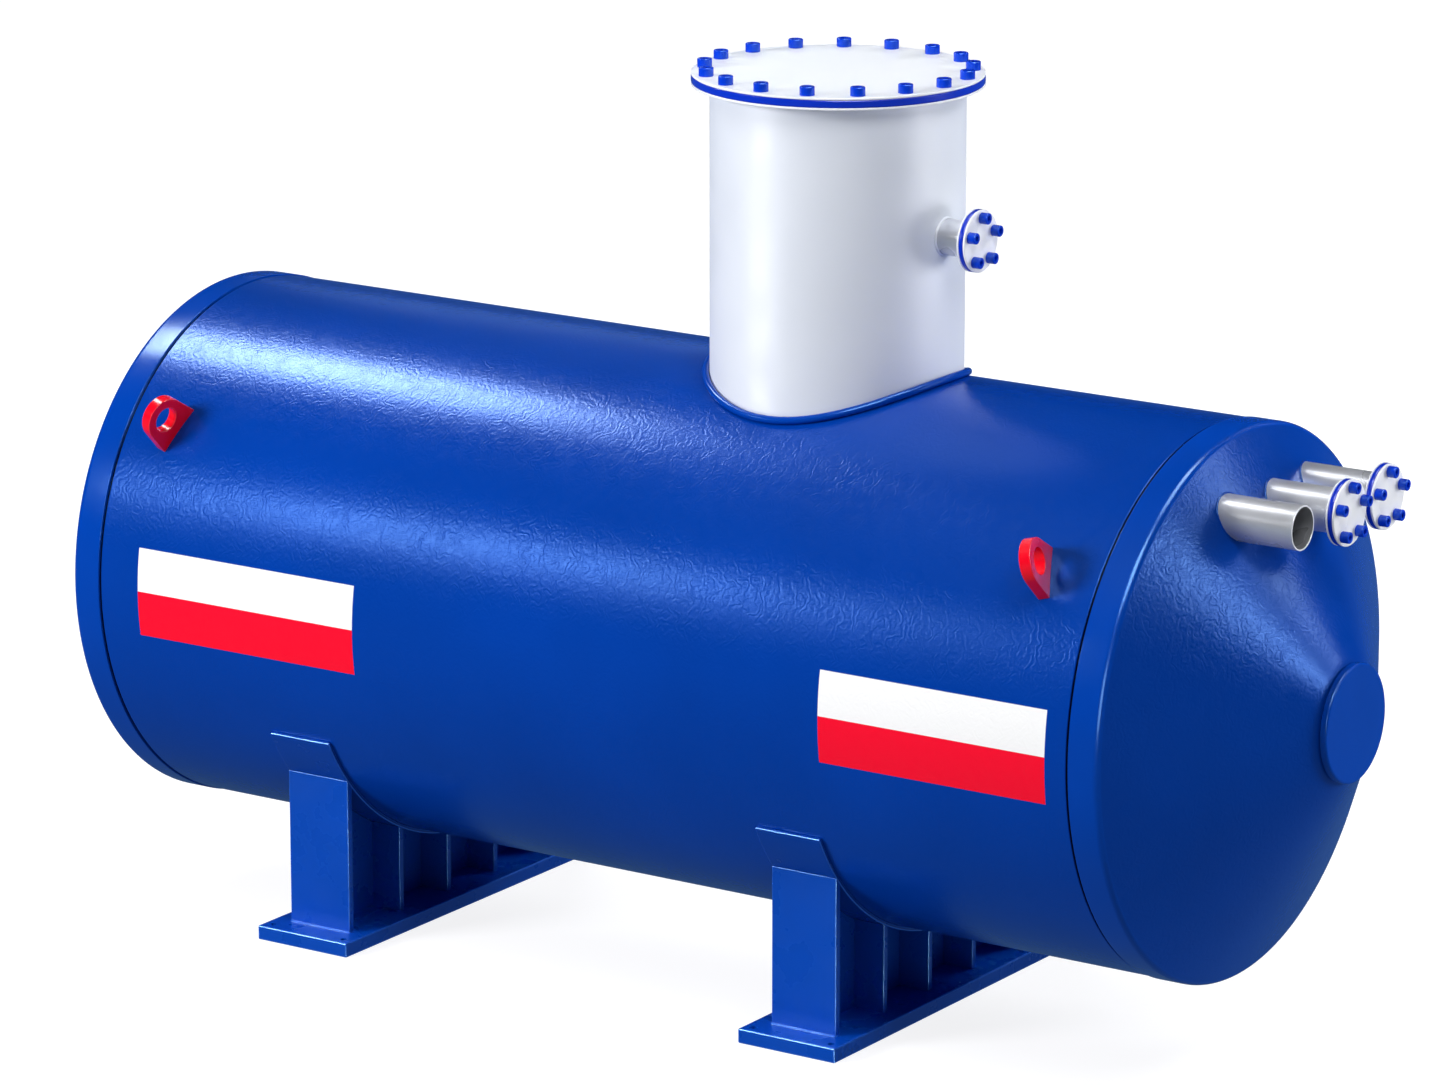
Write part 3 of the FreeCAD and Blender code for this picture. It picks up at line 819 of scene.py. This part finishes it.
def neck_branch():
    """Blinded pipe on the neck with its weld ring."""
    y, z, size = closed_nozzle("neck", NECK_PIPE_WALL, NECK_BOLTS)
    across, up, outward = pipe_circle(y, z, size)
    path = np.stack([neck_x + np.sqrt(neck_radius ** 2 - across ** 2), across, up], 1)
    shape = tube(path, outward, NECK_WELD_RADIUS, ripple=NECK_WELD_RIPPLE, seed=5)
    add_piece("neck_branch_weld", shape, neck_paint, "neck_white")


def branches(right_cone):
    """The three pipes of the right cone and the one of the neck."""
    for name in ("middle", "rear"):
        y, z, size = closed_nozzle(name, PIPE_WALL, CONE_BOLTS)
        join_to_cone(name + "_branch_weld", right_cone, y, z, size)
    y, z, size = pipe_x("open_branch_pipe", "open_nozzle_pipe", PIPE_WALL)
    join_to_cone("open_branch_weld", right_cone, y, z, size)
    neck_branch()


# ---- access neck -----------------------------------------------------------
def neck():
    """Tube whose foot follows the barrel, just under its surface."""
    angle = circle_angles(NECK_SECTIONS)
    steps = np.linspace(0, 1, 9)
    rings = []
    for size, climb in ((neck_radius, steps), (neck_radius - NECK_WALL, steps[::-1])):
        across = size * np.sin(angle)
        foot = axis_z + np.sqrt((radius - NECK_FOOT_INSET) ** 2 - across ** 2)
        for t in climb:
            height = foot + (neck_high.z - foot) * t
            rings.append(np.stack([neck_x + size * np.cos(angle), across, height], 1))
    add_piece("neck", skin(rings, closed=True), neck_paint, "neck_white", "neck_shell")


def collar_bead():
    """Round bead that lies in the corner between neck and barrel."""
    angle = circle_angles(BEAD_SECTIONS)
    reach = neck_radius + COLLAR_BEAD_RADIUS
    x = neck_x + reach * np.cos(angle)
    y = reach * np.sin(angle)
    z = axis_z + np.sqrt((radius + COLLAR_BEAD_RADIUS) ** 2 - y ** 2)
    outward = np.stack([np.cos(angle), np.sin(angle), np.zeros(BEAD_SECTIONS)], 1)
    shape = tube(np.stack([x, y, z], 1), outward, COLLAR_BEAD_RADIUS, 20)
    add_piece("collar_bead", shape, smooth_paint, "smooth_blue", "neck_collar_bead")


def washer_z(name, node, bore, rounding, material, slot):
    """Round plate on the neck's axis; its two outer edges are rounded."""
    low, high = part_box(node)
    corners = [(low.z, bore), (low.z, high.y), (high.z, high.y), (high.z, bore)]
    rings = turned_z(rounded(corners, [0, rounding, rounding, 0]), NECK_SECTIONS)
    add_piece(name, skin(rings, closed=bore > SMALLEST_BORE), material, slot, node)


def neck_top():
    """Flange, gasket, cover and its bolts."""
    washer_z("top_flange", "neck_flange", neck_radius, PLATE_ROUNDING, flange_paint, "flange_white")
    washer_z("top_gasket", "neck_gasket", neck_radius - GASKET_BORE_INSET, GASKET_ROUNDING,
             gasket_rubber, "gasket_blue")
    washer_z("top_cover", "neck_cover", COVER_CENTRE, COVER_ROUNDING, cover_paint, "cover_white")
    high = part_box("neck_cover")[1]
    depth = high.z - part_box("neck_gasket")[0].z
    shape = bolt_circle(COVER_BOLTS, (neck_x, 0.0, high.z), high.y, depth, False)
    add_piece("top_cover_bolts", shape, bolt_coating, "bolt_blue", "neck_cover_bolts")


# ---- saddles ---------------------------------------------------------------
def saddle_pad(side):
    """Curved strip under the barrel with all its edges rounded."""
    node = side + "_saddle_pad"
    low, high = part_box(node)
    outer = axis_z - low.z
    inner = radius + SEAT_GAP
    edge_angle = PAD_ROUNDING / outer
    end = math.asin(high.y / outer) - edge_angle

    def ring(angle, inset):
        x0, x1 = low.x + inset, high.x - inset
        r0, r1 = inner + inset, outer - inset
        left = max(PAD_ROUNDING - inset, PAD_LEAST_ROUNDING)
        section = rounded([(x0, r0), (x0, r1), (x1, r1), (x1, r0)], left, 4, True)
        return np.array([(x, r * math.sin(angle), axis_z - r * math.cos(angle)) for x, r in section])

    def end_ring(way, t):
        inset = PAD_ROUNDING * (1 - math.cos(t)) * PAD_CLOSING
        return ring(way * (end + edge_angle * math.sin(t)), inset)

    turns = np.linspace(math.pi / 2, 0, 6)
    rings = [end_ring(-1, t) for t in turns]
    rings += [ring(angle, 0.0) for angle in np.linspace(-end, end, PAD_STEPS)[1:-1]]
    rings += [end_ring(1, t) for t in turns[::-1]]
    # the pad takes the darker blue, a painted shade
    piece = add_piece(side + "_pad", skin(rings), shaded_pad_paint, "smooth_blue", node)

    def on_edge(face):
        """True where a face is neither square to the barrel's surface nor along it."""
        outward = Vector((0.0, face.center.y, face.center.z - axis_z)).normalized()
        return PAD_EDGE_FACING[0] < abs(face.normal.dot(outward)) < PAD_EDGE_FACING[1]

    # the pad's rounded edges take the lighter blue, a painted highlight
    repaint(piece, saddle_edge_highlight, on_edge)


def weld_round(points):
    """A weld bead round the foot of a plate, through its corner points."""
    path, outward = [], []
    corners = [Vector(p) for p in points]
    middle = sum(corners, Vector()) / len(corners)
    for a, b in zip(corners, corners[1:] + corners[:1]):
        for t in np.linspace(0, 1, 24, endpoint=False):
            p = a.lerp(b, t)
            path.append(p)
            outward.append((p - middle).normalized())
    return tube(path, outward, FOOT_WELD_RADIUS, 8, FOOT_WELD_RIPPLE, 7)


def foot_welds(side):
    """Weld beads round the feet of a saddle's front and rear end plates."""
    low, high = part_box(side + "_saddle_end_plates")
    z = low.z
    parts = []
    for y0, y1 in ((low.y, low.y + LEG_THICKNESS), (high.y - LEG_THICKNESS, high.y)):
        parts.append(weld_round([(low.x, y0, z), (high.x, y0, z), (high.x, y1, z), (low.x, y1, z)]))
    # the weld beads take the lighter blue, a painted highlight
    add_piece(side + "_foot_welds", joined(parts), saddle_edge_highlight, "smooth_blue")


def saddle(side):
    """Base, web, end plates, ribs, pad and weld beads of one saddle."""
    def plates(part, rounding, segments=3, shortest=0.0):
        softened(side + "_" + part, side + "_saddle_" + part, rounding, saddle_paint, saddle_edge_highlight,
                 "smooth_blue", segments, shortest)

    plates("base", BASE_ROUNDING, shortest=BASE_SHORTEST_EDGE)
    plates("web", WEB_ROUNDING, 2)
    plates("end_plates", LEG_ROUNDING)
    plates("ribs", RIB_ROUNDING, 2)
    saddle_pad(side)
    foot_welds(side)


barrel()
for side, sign in (("left", -1), ("right", 1)):
    band(side, sign)
    disc(side, sign)
    saddle(side)
cone("left", -1)
branches(cone("right", 1))
neck()
collar_bead()
neck_top()
# the lugs' rounded edges take the lighter red, a painted highlight
for place in ("front_left", "front_right", "rear_left", "rear_right"):
    softened(place + "_lug", place + "_lifting_lug", LUG_ROUNDING, lug_paint, lug_edge_highlight, "lug_red")


# ---- floor, lights and camera ----------------------------------------------
FLOOR_REACH = 120.0
FLOOR_COLOUR = (0.28, 0.28, 0.29, 1)

# distance from the middle and strength of the floor's own light, near and far
GLOW_NEAR = (3.5, 0.86)
GLOW_FAR = (9.0, 1.0)

# strength of the backdrop as light below and above the horizon, the same as it is
# mirrored in the paint, the colour of that, and how wide the change at the horizon is
WORLD_BELOW = 0.42
WORLD_ABOVE = 0.10
MIRRORED_BELOW = 0.20
MIRRORED_ABOVE = 0.012
MIRRORED_COLOUR = (0.30, 0.62, 1.0, 1)
HORIZON = 0.1

# camera: its place, the direction of it from the tank in degrees, and its lens
CAMERA_PLACE = (13.3225, -19.8516, 7.7690)
CAMERA_AZIMUTH = 33.800
CAMERA_ELEVATION = 14.576
FOCAL_PIXELS = 6712.0
IMAGE_WIDTH = 1448.0
SENSOR_WIDTH = 36.0


def stage_floor():
    """Pale floor that turns white away from the tank, so that its rim doesn't show."""
    mesh = bpy.data.meshes.new("floor")
    reach = FLOOR_REACH
    corners = [(-reach, -reach, 0), (reach, -reach, 0), (reach, reach, 0), (-reach, reach, 0)]
    mesh.from_pydata(corners, [], [(0, 1, 2, 3)])
    floor = bpy.data.objects.new("floor", mesh)
    bpy.context.scene.collection.objects.link(floor)
    finish = Finish("pale floor")
    finish.set(base_color=FLOOR_COLOUR, roughness=0.9, specular_ior_level=0.0)
    finish.set(emission_color=(1, 1, 1, 1))
    distance = finish.node("VectorMath", "Value", {0: finish.place}, operation="LENGTH")
    glow = finish.spread(distance, GLOW_NEAR[0], GLOW_FAR[0], GLOW_NEAR[1], GLOW_FAR[1])
    finish.feed(finish.shader.inputs["Emission Strength"], glow)
    mesh.materials.append(finish.material)
    floor.visible_glossy = False
    floor.visible_shadow = False
    floor.visible_diffuse = False


def direction(azimuth, elevation):
    """Unit vector; azimuth is measured from -Y towards +X."""
    a, e = math.radians(azimuth), math.radians(elevation)
    return Vector((math.cos(e) * math.sin(a), -math.cos(e) * math.cos(a), math.sin(e)))


def soft_box(name, azimuth, elevation, distance, size, power, target=(0, 0, 1.4),
             fills=True, shines=True, spread=180.0, only=(), tint=(1.0, 1.0, 1.0)):
    """Area light aimed at a target; only names the pieces that it lights, if not all.

    A light that fills but doesn't shine lights surfaces and isn't mirrored in them; one
    that shines but doesn't fill is only mirrored.
    """
    light = bpy.data.lights.new(name, "AREA")
    light.shape = "RECTANGLE"
    light.size, light.size_y = size
    light.energy = power
    light.color = tint
    light.spread = math.radians(spread)
    lamp = bpy.data.objects.new(name, light)
    aim = direction(azimuth, elevation)
    lamp.location = Vector(target) + aim * distance
    lamp.rotation_euler = aim.to_track_quat("Z", "Y").to_euler()
    lamp.visible_diffuse = fills
    lamp.visible_glossy = shines
    if not fills:
        light.cycles.max_bounces = 0
    if only:
        lit = bpy.data.collections.new(name + " pieces")
        for piece in only:
            lit.objects.link(bpy.data.objects[piece])
        lamp.light_linking.receiver_collection = lit
    bpy.context.scene.collection.objects.link(lamp)


def surroundings():
    """White backdrop that lights the tank a little, more from below, and barely mirrors in it."""
    world = bpy.data.worlds.new("studio")
    bpy.context.scene.world = world
    world.use_nodes = True
    tree = world.node_tree
    background = tree.nodes["Background"]

    def ramp(value, low, high, out_low, out_high):
        made = tree.nodes.new("ShaderNodeMapRange")
        tree.links.new(value, made.inputs["Value"])
        numbers = {"From Min": low, "From Max": high, "To Min": out_low, "To Max": out_high}
        for name, number in numbers.items():
            if isinstance(number, bpy.types.NodeSocket):
                tree.links.new(number, made.inputs[name])
            else:
                made.inputs[name].default_value = number
        return made.outputs["Result"]

    coordinates = tree.nodes.new("ShaderNodeTexCoord")
    parts = tree.nodes.new("ShaderNodeSeparateXYZ")
    tree.links.new(coordinates.outputs["Generated"], parts.inputs[0])
    rays = tree.nodes.new("ShaderNodeLightPath")
    fill = ramp(parts.outputs["Z"], -HORIZON, HORIZON, WORLD_BELOW, WORLD_ABOVE)
    mirrored = ramp(parts.outputs["Z"], -HORIZON, HORIZON, MIRRORED_BELOW, MIRRORED_ABOVE)
    seen = ramp(rays.outputs["Is Glossy Ray"], 0.0, 1.0, fill, mirrored)
    seen = ramp(rays.outputs["Is Camera Ray"], 0.0, 1.0, seen, 1.0)
    tree.links.new(seen, background.inputs["Strength"])
    colour = tree.nodes.new("ShaderNodeMix")
    colour.data_type = "RGBA"
    tree.links.new(rays.outputs["Is Glossy Ray"], colour.inputs[0])
    colour.inputs[6].default_value = (1, 1, 1, 1)
    colour.inputs[7].default_value = MIRRORED_COLOUR
    tree.links.new(colour.outputs[2], background.inputs["Color"])


def camera():
    """Camera at the photo's viewing angle."""
    lens = bpy.data.cameras.new("camera")
    lens.sensor_width = SENSOR_WIDTH
    lens.lens = FOCAL_PIXELS / IMAGE_WIDTH * lens.sensor_width
    lens.clip_end = 400.0
    eye = bpy.data.objects.new("camera", lens)
    eye.location = CAMERA_PLACE
    aim = direction(CAMERA_AZIMUTH, CAMERA_ELEVATION)
    eye.rotation_euler = aim.to_track_quat("Z", "Y").to_euler()
    bpy.context.scene.collection.objects.link(eye)
    bpy.context.scene.camera = eye


stage_floor()
surroundings()

SADDLE_PARTS = ("pad", "base", "web", "ribs", "end_plates", "foot_welds")
saddle_pieces = [side + "_" + part for side in ("left", "right") for part in SADDLE_PARTS]
other_pieces = [name for name in tank_pieces if name not in saddle_pieces]
pipe_pieces = [name + "_branch_pipe" for name in ("open", "middle", "rear", "neck")]
rim_pieces = ["left_band", "right_band", "right_disc", "left_disc"]

# Each light: name, azimuth and elevation, distance from its target, size, power, target.
# fills: even light from in front, the right, the end, above and behind
soft_box("front fill", -34.0, 20.0, 16.0, (4.8, 4.8), 2150.0, shines=False)
soft_box("right fill", 58.0, 48.0, 9.0, (3.0, 3.0), 205.0, shines=False)
soft_box("end fill", 115.0, 6.0, 9.0, (3.0, 3.0), 275.0, shines=False, only=other_pieces)
soft_box("top fill", -20.0, 60.0, 9.0, (4.0, 4.0), 162.0, shines=False)
soft_box("back right fill", 155.0, 30.0, 10.0, (3.0, 3.0), 520.0, shines=False)
soft_box("back left fill", -140.0, 30.0, 10.0, (3.0, 3.0), 400.0, shines=False)

# streaks along the barrel and down the right cone
soft_box("upper streak", -103.0, 56.4, 6.7, (1.5, 2.3), 270.0, (-1.9, -0.57, 2.11), fills=False)
soft_box("middle streak", -38.0, 22.0, 16.0, (2.6, 2.6), 245.0, fills=False)
soft_box("end streak", 112.7, 15.0, 9.0, (1.6, 1.6), 85.0, (2.45, -0.35, 1.75), fills=False)
soft_box("end top streak", 133.0, 21.0, 9.0, (2.0, 2.0), 60.0, (2.45, -0.1, 1.9), fills=False)
soft_box("top streak", -141.0, 21.0, 10.0, (3.0, 2.0), 9.0, fills=False, tint=(0.40, 0.70, 1.0))

# lights for edges and single pieces
soft_box("edge light", 45.0, 50.0, 9.0, (4.0, 4.0), 900.0, fills=False)
soft_box("upper edge light", 110.0, 68.0, 9.0, (4.0, 4.0), 700.0, fills=False)
soft_box("neck streak", -38.0, -12.0, 8.0, (2.6, 2.6), 150.0, (neck_x, -0.4, 2.7),
         fills=False, only=["neck"])
soft_box("neck side streak", 112.0, -8.0, 8.0, (2.0, 2.0), 35.0, (neck_x, 0.2, 2.5),
         fills=False, only=["neck"])
soft_box("pipe streak", -88.0, 50.0, 8.0, (2.0, 2.0), 240.0, (2.5, -0.1, 2.05),
         fills=False, only=pipe_pieces)
soft_box("rim light", 35.0, 8.0, 9.0, (3.0, 3.0), 300.0, fills=False, only=rim_pieces)
soft_box("saddle top light", -45.0, 40.0, 8.0, (5.0, 5.0), 4200.0, (-0.2, -0.8, 0.5),
         fills=False, only=saddle_pieces)
soft_box("saddle side light", 57.0, -14.0, 9.0, (2.0, 2.0), 900.0, (-0.2, -0.8, 0.5),
         fills=False, only=saddle_pieces)
soft_box("cover light", 0.0, 90.0, 2.0, (1.0, 1.0), 0.8, (neck_x, 0.0, neck_high.z), spread=12.0)
camera()
bpy.context.scene.view_settings.view_transform = "Standard"
